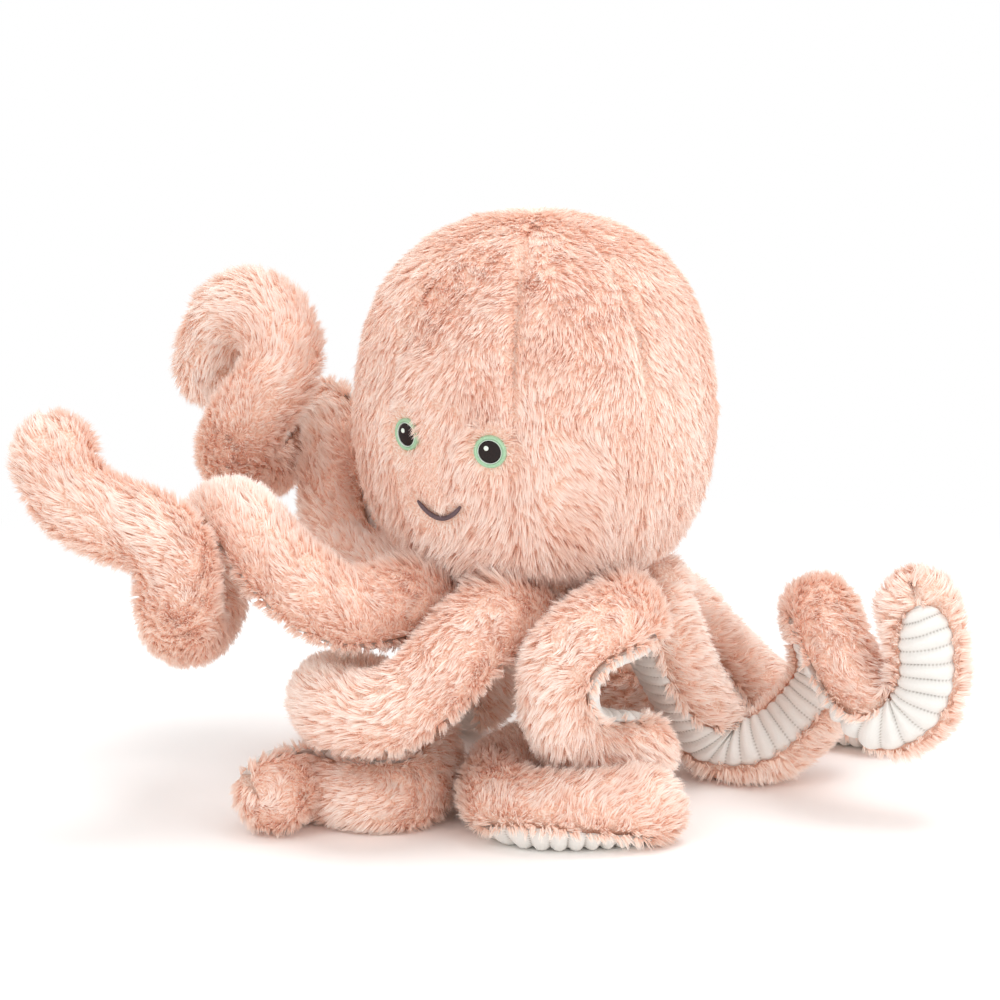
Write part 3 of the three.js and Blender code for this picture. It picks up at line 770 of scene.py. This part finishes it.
def head_skin_depth(spots):
    """How far the backing lies under the part's surface: an even depth, less the puffs above the
    rim, at the crown and on the cheeks, with a groove at each seam, and shallow under stitches."""
    groove = GROOVE_DEPTH * spots.seam_trace(GROOVE_WIDTH)
    calm = face_calm(spots.place)
    puff = HEAD_PUFF * step(spots.run, 20 * MM, 50 * MM)
    puff += CROWN_PUFF * step(spots.run, 0.5 * PROFILE_LENGTH, 0.85 * PROFILE_LENGTH)
    cheek = step(spots.run, 15 * MM, 35 * MM) * (1 - step(spots.run, 60 * MM, 90 * MM))
    puff += CHEEK_PUFF * cheek * step(np.abs(spots.angle), 0.35, 0.8)
    return (HEAD_SKIN_DEPTH - puff + groove) * (1 - calm) + SEWN_SKIN_DEPTH * calm


def add_head_skin(finish):
    """The backing: the head's profile turned round its axis and pushed in by its depth."""
    rows, columns = 90, 160
    run = np.linspace(0, PROFILE_LENGTH - 0.3 * MM, rows)
    angle = np.linspace(0, 2 * math.pi, columns, endpoint=False)
    spots = HeadSpots(np.tile(angle, rows), np.repeat(run, columns))
    points = spots.place - spots.normal * head_skin_depth(spots)[:, None]
    points, faces = tube_faces(points, rows)
    skin = add_mesh("head_backing", points, faces, finish)
    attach(skin, "head")
    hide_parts("head_stuffing")


# Hairs

def add_pile(name, body, node, roots, normals, comb, length, lean, shade, finish, seed):
    """Fur as slim closed cones of four faces, the widest face outward. A tuft's hairs start round
    its root, lean from the normal toward the comb and close in on the tuft's tip."""
    draw = np.random.default_rng(seed)
    count, many = len(roots), HAIRS_PER_TUFT
    lengths = (length * draw.uniform(0.84, 1.12, count))[:, None, None]
    lengths = lengths * draw.uniform(0.78, 1.1, (count, many, 1))
    leans = lean + draw.normal(0, 0.1, count)
    way = normals * np.cos(leans)[:, None] + comb * np.sin(leans)[:, None]
    side = np.cross(normals, comb)
    spread = TUFT_RADIUS * np.sqrt(draw.uniform(0, 1, (count, many, 1)))
    around = draw.uniform(0, 2 * math.pi, (count, many, 1))
    offset = comb[:, None] * spread * np.cos(around) + side[:, None] * spread * np.sin(around)
    stray = draw.normal(0, 0.07, (count, many, 3)) * lengths
    root = (roots[:, None] + offset).reshape(-1, 3)
    tip = roots[:, None] + offset * TUFT_TIP_SHARE + way[:, None] * lengths + stray
    tip = tip.reshape(-1, 3)
    root[:, 2] = np.maximum(root[:, 2], FLOOR_CLEARANCE + HAIR_WIDTH)
    tip[:, 2] = np.maximum(tip[:, 2], FLOOR_CLEARANCE)
    hairs = len(root)
    along = unit(tip - root)
    cloth = np.repeat(normals, many, axis=0)
    roll = draw.normal(0, HAIR_ROLL, (hairs, 3))
    flat = cross_free(np.cross(cloth, along) + roll, along)
    thin = np.cross(along, flat)
    width = HAIR_WIDTH / 2 * draw.uniform(0.75, 1.25, hairs)[:, None]
    ring = [root + flat * width, root - flat * width, root - thin * width]
    points = np.stack([*ring, tip], 1).reshape(-1, 3)
    pattern = np.array([[0, 2, 1], [0, 1, 3], [1, 2, 3], [2, 0, 3]])
    faces = (np.arange(hairs)[:, None, None] * 4 + pattern[None]).reshape(-1, 3)
    tone = np.clip(np.repeat(shade, many) + draw.normal(0, 0.12, hairs), 0.02, 0.98)
    u = tone[:, None] + np.array([-0.01, 0.01, 0.0, 0.0])[None]
    v = np.broadcast_to(np.array([0.0, 0.0, 0.04, 1.0]), u.shape)
    uv = np.stack([u, v], -1)[:, pattern.ravel()].reshape(-1, 2)
    pile = add_mesh(name, points, faces, finish, uv=uv, smooth=False)
    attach(pile, body)
    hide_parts(node)


def head_comb(spots, eye, from_eye, smile, from_smile, inner, smooth):
    """The way the head's hairs point: down with swirls, away from the eyes and the smile, and never
    across a seam."""
    place = spots.place
    swirl = 1.0 * ripple(place, 50 * MM, 1) + 0.4 * ripple(place, 17 * MM, 2)
    swirl *= (1 - 0.6 * smooth) * (0.3 + 0.7 * step(eye, 12 * MM, 32 * MM))
    comb = -spots.up * np.cos(swirl)[:, None] + spots.side * np.sin(swirl)[:, None]
    round_eye = (1 - step(eye, EYE_RADIUS, EYE_RADIUS + 9 * MM)) * (1 - 1.5 * inner)
    round_smile = 1 - step(smile, 1 * MM, 7 * MM)
    comb += 3 * unit(from_eye) * round_eye[:, None]
    comb += 3 * unit(from_smile) * round_smile[:, None]
    seam, seam_side = spots.seam_distance()
    near_seam = (1 - step(seam, 3 * MM, 9 * MM)) * spots.seam_share()
    toward = np.maximum(-(comb * spots.side).sum(1) * seam_side, 0)
    parted = toward * near_seam + 0.4 * spots.seam_trace(SEAM_WIDTH)
    comb += spots.side * (seam_side * parted)[:, None]
    return cross_free(comb, spots.normal)


def add_head_pile(finish):
    """The head's fur, gore by gore: combed down, flatter on the crown and the sides, short along
    the seams and painted darker there as the shade of their crease, laid flat round the stitches,
    and upright on the eyes' inner side."""
    steps = np.linspace(0, PROFILE_LENGTH, 2000)
    share = np.cumsum(np.interp(steps, PROFILE_RUN, PROFILE_RADIUS))
    share /= share[-1]
    for index, name in enumerate(GORE_NAMES):
        draw = np.random.default_rng(100 + index)
        run = np.interp(draw.uniform(0, 1, TUFTS_PER_GORE), share, steps)
        angle = GORE_ANGLE * (index + draw.uniform(-0.5, 0.5, TUFTS_PER_GORE))
        spots = HeadSpots(angle, run)
        place = spots.place
        seam, _ = spots.seam_distance()
        eye, from_eye = distance_to(place, EYE_CENTRES)
        smile, from_smile = distance_to(place, SMILE_CENTRES)
        keep = (eye > EYE_RADIUS - 1.2 * MM) & (smile > 1.9 * MM)
        keep &= (seam > SEAM_BARE) | (spots.seam_share() < 0.6)
        crown = step(run, 0.68 * PROFILE_LENGTH, 0.85 * PROFILE_LENGTH)
        smooth = np.maximum(crown, step(np.abs(angle - 0.3), 0.5, 1.0))
        outboard = spots.side * np.sign(angle)[:, None]
        inner = step(-(unit(from_eye) * outboard).sum(1), 0.1, 0.7)
        inner *= 1 - step(eye, EYE_RADIUS + 4 * MM, EYE_RADIUS + 9 * MM)
        inner *= np.where(angle < 0, 0.6, 0.3)
        comb = head_comb(spots, eye, from_eye, smile, from_smile, inner, smooth)
        at_seam = spots.seam_trace(SEAM_WIDTH)
        at_rim = 1 - step(run, 15 * MM, 60 * MM)
        calm = face_calm(place) * (1 - inner)
        length = HEAD_HAIR_LENGTH * (1 - 0.45 * calm) * (1 - 0.5 * at_seam)
        length *= (1 + 0.12 * ripple(place, 22 * MM, 3)) * (1 + 0.4 * inner)
        length *= 1 - 0.35 * (1 - step(smile, 1 * MM, 7 * MM))
        length *= (1 + 0.4 * at_rim) * (1 - 0.12 * smooth)
        lean = HEAD_HAIR_LEAN - 0.08 + 0.22 * ripple(place, 14 * MM, 4)
        lean += 0.3 * calm + 0.15 * at_seam + 0.3 * smooth - 0.75 * inner - 0.25 * at_rim
        shade = 0.66 + 0.14 * ripple(place, 32 * MM, 5) + 0.12 * ripple(place, 9 * MM, 6)
        # Painted shade: hairs along a seam move toward the deep colours, standing in for the shade
        # in the seam's crease
        shade -= 0.75 * at_seam
        roots = place - spots.normal * head_skin_depth(spots)[:, None]
        picked = [x[keep] for x in (roots, spots.normal, comb, length, lean, shade)]
        node = "head_gore_" + name
        add_pile("head_pile_" + name, "head", node, *picked, finish, 200 + index)


# The arms

def spline_weights(t):
    """The four weights of a uniform cubic B-spline at a share of a span."""
    second = 3 * t**3 - 6 * t**2 + 4
    third = -3 * t**3 + 3 * t**2 + 3 * t + 1
    return np.stack([(1 - t) ** 3, second, third, t**3], -1) / 6


class Arm:
    """An arm's centre line, a uniform cubic B-spline that its route's rows control, and its way
    along, down toward the strip, and bend at every place of it."""

    def __init__(self, name):
        self.body = "arm_" + name
        rows = np.array(ROUTE_SHARES[name], float)
        control = np.vstack([2 * rows[0] - rows[1], rows, 2 * rows[-1] - rows[-2]])
        spans = len(rows) - 1
        steps = np.linspace(0, spans, spans * 60 + 1)
        span = np.minimum(steps.astype(int), spans - 1)
        weights = spline_weights(steps - span)
        samples = sum(weights[:, i : i + 1] * control[span + i] for i in range(4))
        turn = FACE_ANGLE + ROOT_HALF_STEPS[name] * math.pi / ARM_COUNT
        out = np.array([math.cos(turn), math.sin(turn), 0.0])
        side = np.array([-math.sin(turn), math.cos(turn), 0.0])
        axes = np.stack([out, side, [0.0, 0.0, 1.0]])
        centre = HEAD_AXIS + out * ROOT_RING + samples[:, :3] @ axes * PITCH
        facing = samples[:, 3:] @ axes
        gaps = np.linalg.norm(np.diff(centre, axis=0), axis=1)
        run = np.concatenate([[0], np.cumsum(gaps)])
        along = unit(np.gradient(centre, run, axis=0))
        self.run, self.length = run, run[-1]
        self.centre, self.along = centre, along
        self.down = cross_free(facing, along)
        self.bend = np.gradient(along, run, axis=0)

    def radius(self, run):
        """Slimmer in a straight line from the root, then even, then a little fuller to the tip."""
        share = np.clip(run / self.length, 0, 1)
        slim = np.clip(share / SLIM_SHARE, 0, 1)
        full = np.clip((share - TIP_START_SHARE) / (TIP_FULL_SHARE - TIP_START_SHARE), 0, 1)
        slimmed = ARM_ROOT_RADIUS + (ARM_MID_RADIUS - ARM_ROOT_RADIUS) * slim
        return slimmed + (ARM_TIP_RADIUS - ARM_MID_RADIUS) * full

    def at(self, run, values):
        return np.stack([np.interp(run, self.run, values[:, i]) for i in range(3)], -1)

    def spots(self, run, angle, depth):
        """Places on the arm, and the ways out of it, round it and along it. A place lies on a ring
        round the centre line, at an angle that is 0 in the middle of the strip. A run before 0 or
        past the length lies on the half ball of that end, and the inside of a tight bend is
        flattened so that rings never cross."""
        inside = np.clip(run, 0, self.length)
        beyond = run - inside
        radius = self.radius(inside)
        cap = np.arcsin(np.clip(beyond / radius, -1, 1))
        along = unit(self.at(inside, self.along))
        down = cross_free(self.at(inside, self.down), along)
        across = np.cross(down, along)
        ring = down * np.cos(angle)[:, None] + across * np.sin(angle)[:, None]
        round_it = across * np.cos(angle)[:, None] - down * np.sin(angle)[:, None]
        reach = (radius - depth) * np.cos(cap)
        offset = ring * reach[:, None]
        bend = self.at(inside, self.bend) * (beyond == 0)[:, None]
        size = np.linalg.norm(bend, axis=1)
        inward = bend / np.maximum(size, 1e-9)[:, None]
        excess = (offset * inward).sum(1) - (PINCH_SHARE / np.maximum(size, 1e-9) - depth)
        offset -= inward * np.maximum(excess, 0)[:, None]
        past = along * ((radius - depth) * np.sin(cap))[:, None]
        place = self.at(inside, self.centre) + offset + past
        normal = unit(ring * np.cos(cap)[:, None] + along * np.sin(cap)[:, None])
        tipward = unit(along * np.cos(cap)[:, None] - ring * np.sin(cap)[:, None])
        return place, normal, round_it, tipward

    def stretch(self, run, angle):
        """How much longer the surface is than the centre line under it: 1 less the bend's share."""
        inside = np.clip(run, 0, self.length)
        along = unit(self.at(inside, self.along))
        down = cross_free(self.at(inside, self.down), along)
        ring = down * np.cos(angle)[:, None] + np.cross(down, along) * np.sin(angle)[:, None]
        share = (ring * self.at(inside, self.bend)).sum(1) * self.radius(inside)
        return np.clip(1 - share, 0.2, MOST_STRETCH)

    def strip_end(self):
        return self.length + 0.35 * ARM_TIP_RADIUS

    def strip_half_angle(self, run):
        """The strip's half width as an angle: even, and half an ellipse at its end."""
        left = np.clip((self.strip_end() - run) / (1.1 * ARM_TIP_RADIUS), 0, 1)
        return STRIP_HALF_ANGLE * np.sqrt(1 - (1 - left) ** 2)


def add_arm_skin(arm, finish):
    """The backing: rings round the centre line, sunk under the strip, and a half ball at each
    end."""
    columns = 26
    quarter = np.linspace(0, math.pi / 2 - 0.05, 9)[1:]
    root = -np.sin(quarter[::-1]) * ARM_ROOT_RADIUS
    tip = np.sin(quarter) * ARM_TIP_RADIUS
    body = np.linspace(0, arm.length, int(arm.length / (2.6 * MM)))
    run = np.concatenate([root, body, arm.length + tip])
    runs = np.repeat(run, columns)
    angles = np.tile(np.linspace(-math.pi, math.pi, columns, endpoint=False), len(run))
    past_strip = (np.abs(angles) - arm.strip_half_angle(runs)) * ARM_MID_RADIUS
    under_strip = 1 - step(past_strip, 0.3 * MM, 2.5 * MM)
    points, *_ = arm.spots(runs, angles, ARM_SKIN_DEPTH + STRIP_SKIN_DROP * under_strip)
    points[:, 2] = np.maximum(points[:, 2], FLOOR_CLEARANCE)
    points, faces = tube_faces(points, len(run))
    skin = add_mesh(arm.body + "_backing", points, faces, finish)
    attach(skin, arm.body)
    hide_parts(arm.body + "_stuffing")


def add_arm_strip(arm, finish):
    """The corduroy: a crowned band on the chord between the fur's two lips. Each rib is the sine of
    the run, raised to a power, and the band's edges turn down into the seam."""
    top, under = np.linspace(-1, 1, 15), np.array([0.6, -0.6])
    start, end = -0.3 * ARM_ROOT_RADIUS, arm.strip_end()
    rows = int((end - start) / RIB_PITCH * RIB_STEPS)
    runs = np.repeat(np.linspace(start, end - 0.02 * MM, rows), len(top) + len(under))
    shares = np.tile(np.concatenate([top, under]), rows)
    below = np.tile(np.concatenate([top * 0, under * 0 + 1]), rows)
    sheet = np.stack([runs, shares * 12 * MM, runs * 0], -1)
    ribs = (runs + 0.45 * MM * ripple(sheet, 20 * MM, 31)) / RIB_PITCH
    ridge = np.abs(np.sin(ribs * math.pi)) ** RIB_ROUNDNESS
    edge = 1 - np.abs(shares) ** 4
    angle = shares * arm.strip_half_angle(runs) * (1 - 0.08 * (1 - ridge))
    radius = arm.radius(runs)
    chord = radius * math.cos(STRIP_HALF_ANGLE) / np.cos(np.clip(angle, -1.2, 1.2))
    surface = chord + STRIP_CROWN_SHARE * (radius - chord)
    height = STRIP_LIFT + RIB_HEIGHT * (ridge * edge - 0.4 * (1 - edge))
    height = np.where(below > 0, -STRIP_UNDERSIDE, height)
    points, *_ = arm.spots(runs, angle, radius - surface - height)
    points[:, 2] = np.maximum(points[:, 2], FLOOR_CLEARANCE * (1 + below))
    points, faces = tube_faces(points, rows)
    ends = [[ribs[0], 0], [ribs[-1], 0]]
    uv = np.vstack([np.stack([ribs, shares], -1), ends])[faces.ravel()]
    strip = add_mesh(arm.body + "_corduroy", points, faces, finish, uv=uv, uv_name="ribs")
    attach(strip, arm.body)
    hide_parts(arm.body + "_cord")


def add_arm_pile(arm, finish, seed):
    """The arm's fur: upright at the strip's lips, combed away from them, toward the tip on the
    arm's back, with swirls, and longer where the arm lies against the head."""
    draw = np.random.default_rng(seed)
    start, end = -0.75 * ARM_ROOT_RADIUS, arm.length + 0.98 * ARM_TIP_RADIUS
    area = 2 * math.pi * ARM_MID_RADIUS * (end - start)
    count = int(area / ARM_TUFT_SPACING**2 * MOST_STRETCH)
    run = draw.uniform(start, end, count)
    angle = draw.uniform(-math.pi, math.pi, count)
    keep = draw.uniform(0, MOST_STRETCH, count) < arm.stretch(run, angle)
    keep &= np.abs(angle) > arm.strip_half_angle(run) - 0.09
    run, angle = run[keep], angle[keep]
    depth = np.full(len(run), ARM_SKIN_DEPTH)
    place, normal, round_it, tipward = arm.spots(run, angle, depth)
    lip = arm.strip_half_angle(run)
    share = (np.abs(angle) - lip) / (math.pi - lip)
    at_lip = 1 - step(share, 0.0, 0.05)
    swirl = np.sign(angle) * LIP_SWIRL * (1 - step(share, 0.0, 0.9)) * (1 - 1.8 * at_lip)
    swirl += 0.6 * ripple(place, 30 * MM, 11) + 0.45 * ripple(place, 12 * MM, 12)
    comb = round_it * np.sin(swirl)[:, None] + tipward * np.cos(swirl)[:, None]
    comb = cross_free(comb, normal)
    length = ARM_HAIR_LENGTH * (1 + 0.14 * ripple(place, 18 * MM, 13)) * (1 - 0.2 * at_lip)
    height = place[:, 2]
    off_head = np.linalg.norm((place - HEAD_AXIS)[:, :2], axis=1) - head_radius(height)
    near_head = 1 - step(off_head, 8 * MM, 22 * MM)
    length *= 1 + 1.1 * near_head * step(height, BASE_HEIGHT - 5 * MM, BASE_HEIGHT)
    lean = LIP_HAIR_LEAN + (ARM_HAIR_LEAN - LIP_HAIR_LEAN) * step(share, 0.0, 0.35)
    lean += 0.18 * ripple(place, 13 * MM, 14)
    shade = 0.86 + 0.12 * ripple(place, 28 * MM, 15) + 0.14 * ripple(place, 8 * MM, 16)
    pile = (place, normal, comb, length, lean, shade)
    add_pile(arm.body + "_pile", arm.body, arm.body + "_fur", *pile, finish, seed)


# The stitched face and the base

def clean_mesh(piece):
    """Doubles merged and faces turned outward."""
    work = bmesh.new()
    work.from_mesh(piece.data)
    bmesh.ops.remove_doubles(work, verts=work.verts, dist=1e-6)
    bmesh.ops.dissolve_degenerate(work, edges=work.edges, dist=1e-7)
    bmesh.ops.recalc_face_normals(work, faces=work.faces)
    work.to_mesh(piece.data)
    work.free()


def disc_grid(rows, columns, inner, outer):
    """The radius and the turn of each point on rings between two radii."""
    rings = np.repeat(np.linspace(inner, outer, rows), columns)
    turns = np.tile(np.linspace(0, 2 * math.pi, columns, endpoint=False), rows)
    return rings, turns


def add_disc(name, spot, radii, grid, height, furrow, threads, turn, finish, shift):
    """Satin stitch on the face, bent back to follow the head: a low dome, which is half an ellipse
    across a ring and squarer over a full disc. It is scored by the sine of its threads, which run
    out from the middle of a ring and straight across a disc."""
    place, outward, upward = spot
    sideways = np.cross(upward, outward)
    inner, outer = radii
    rings, turns = disc_grid(*grid, inner, outer)
    x, y = rings * np.cos(turns) + shift[0], rings * np.sin(turns) + shift[1]
    if inner > PINHOLE:
        middle, half = (inner + outer) / 2, (outer - inner) / 2
        dome = np.sqrt(np.clip(1 - ((rings - middle) / half) ** 2, 0, 1))
        thread = np.abs(np.sin(turns * threads / 2))
    else:
        dome = np.sqrt(np.clip(1 - (rings / outer) ** 4, 0, 1))
        thread = np.abs(np.sin((x * math.cos(turn) + y * math.sin(turn)) * threads))
    lift = STITCH_LIFT + height * dome + furrow * (thread - 1) * dome
    sag = (x**2 + y**2) / (2 * HEAD_RADIUS)
    flat = place + x[:, None] * sideways + y[:, None] * upward
    top = flat + (lift - sag)[:, None] * outward
    under = flat - (sag + STITCH_SINK)[:, None] * outward
    disc = add_mesh(name, np.vstack([top, under]), shell_faces(*grid), finish)
    clean_mesh(disc)
    return disc


def add_eye(side, threads):
    """An eye: two rings, a disc and a small glint, each a piece of satin stitch."""
    for colour, node, thread, *sizes in EYE_LAYERS:
        shift = GLINT_SHIFT if node == "glint" else (0, 0)
        name = f"eye_{side}_{colour}_stitch"
        disc = add_disc(name, EYE_SPOTS[side], *sizes, threads[thread], shift)
        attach(disc, "head")
        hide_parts(f"eye_{side}_{node}")


def add_smile(finish):
    """A cord of stitches: a tube along the smile, scored round by its threads and thin at its ends,
    where its radius falls as the root of 1 less a sixth power."""
    rows, columns = 270, 12
    run = np.linspace(0, 1, rows)
    known = np.linspace(0, 1, len(SMILE_SPOTS))
    spots = (np.array([spot[i] for spot in SMILE_SPOTS]) for i in (0, 1))
    centre, outward = (
        np.stack([np.interp(run, known, values[:, i]) for i in range(3)], -1) for values in spots
    )
    centre = centre + outward * SMILE_LIFT
    along = unit(np.gradient(centre, axis=0))
    side = unit(np.cross(outward, along))
    taper = (1 - np.abs(2 * run - 1) ** 6) ** 0.5
    scored = 1 + 0.14 * np.abs(np.sin(run * math.pi * SMILE_THREADS))
    radius = SMILE_RADIUS * (0.25 + 0.75 * taper) * scored
    turn = np.linspace(0, 2 * math.pi, columns, endpoint=False)[None, :, None]
    ring = side[:, None] * np.cos(turn) + outward[:, None] * np.sin(turn)
    points = (centre[:, None] + ring * radius[:, None, None]).reshape(-1, 3)
    points, faces = tube_faces(points, rows)
    smile = add_mesh("smile_stitch", points, faces, finish)
    clean_mesh(smile)
    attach(smile, "head")
    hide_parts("smile")


def add_base(finish):
    """The disc that closes the head from below: flat above, and below it ribs of corduroy, each the
    sine of the place across the disc, raised to a power."""
    grid = (40, 96)
    outer = RIM_RADIUS - 1.2 * MM
    rings, turns = disc_grid(*grid, PINHOLE, outer)
    x, y = rings * np.cos(turns), rings * np.sin(turns)
    ridge = np.abs(np.sin(x / RIB_PITCH * math.pi)) ** 0.6
    low = BASE_HEIGHT + 0.9 * MM - 0.8 * MM * ridge
    high = np.full_like(x, BASE_HEIGHT + 2 * MM)
    points = np.vstack([HEAD_AXIS + np.stack([x, y, z], -1) for z in (high, low)])
    faces = shell_faces(*grid)
    uv = np.stack([np.tile(x / RIB_PITCH, 2), np.tile(y / outer, 2)], -1)[faces.ravel()]
    disc = add_mesh("base_corduroy", points, faces, finish, uv=uv, uv_name="ribs")
    clean_mesh(disc)
    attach(disc, "head")
    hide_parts("head_base_disc")


# The scene: light passes from hair to hair, so it may bounce more often than it does by default
scene = bpy.context.scene
scene.view_settings.view_transform = "Standard"
scene.cycles.max_bounces = 16
scene.cycles.diffuse_bounces = 12
add_camera()
light_world()
for lamp_name, lamp_sizes in LAMPS.items():
    add_lamp(lamp_name, *lamp_sizes)
add_floor()

pile_finish = hair_finish()
backing_finish = skin_finish()
cord_finish = corduroy_finish()
thread_finishes = {name: thread_finish(name, *colours) for name, colours in THREADS.items()}

add_head_skin(backing_finish)
add_head_pile(pile_finish)
add_base(cord_finish)
for eye_side in EYE_SPOTS:
    add_eye(eye_side, thread_finishes)
add_smile(thread_finishes["grey_thread"])

for number, arm_name in enumerate(ROUTE_SHARES):
    arm = Arm(arm_name)
    add_arm_skin(arm, backing_finish)
    add_arm_strip(arm, cord_finish)
    add_arm_pile(arm, pile_finish, 300 + number)
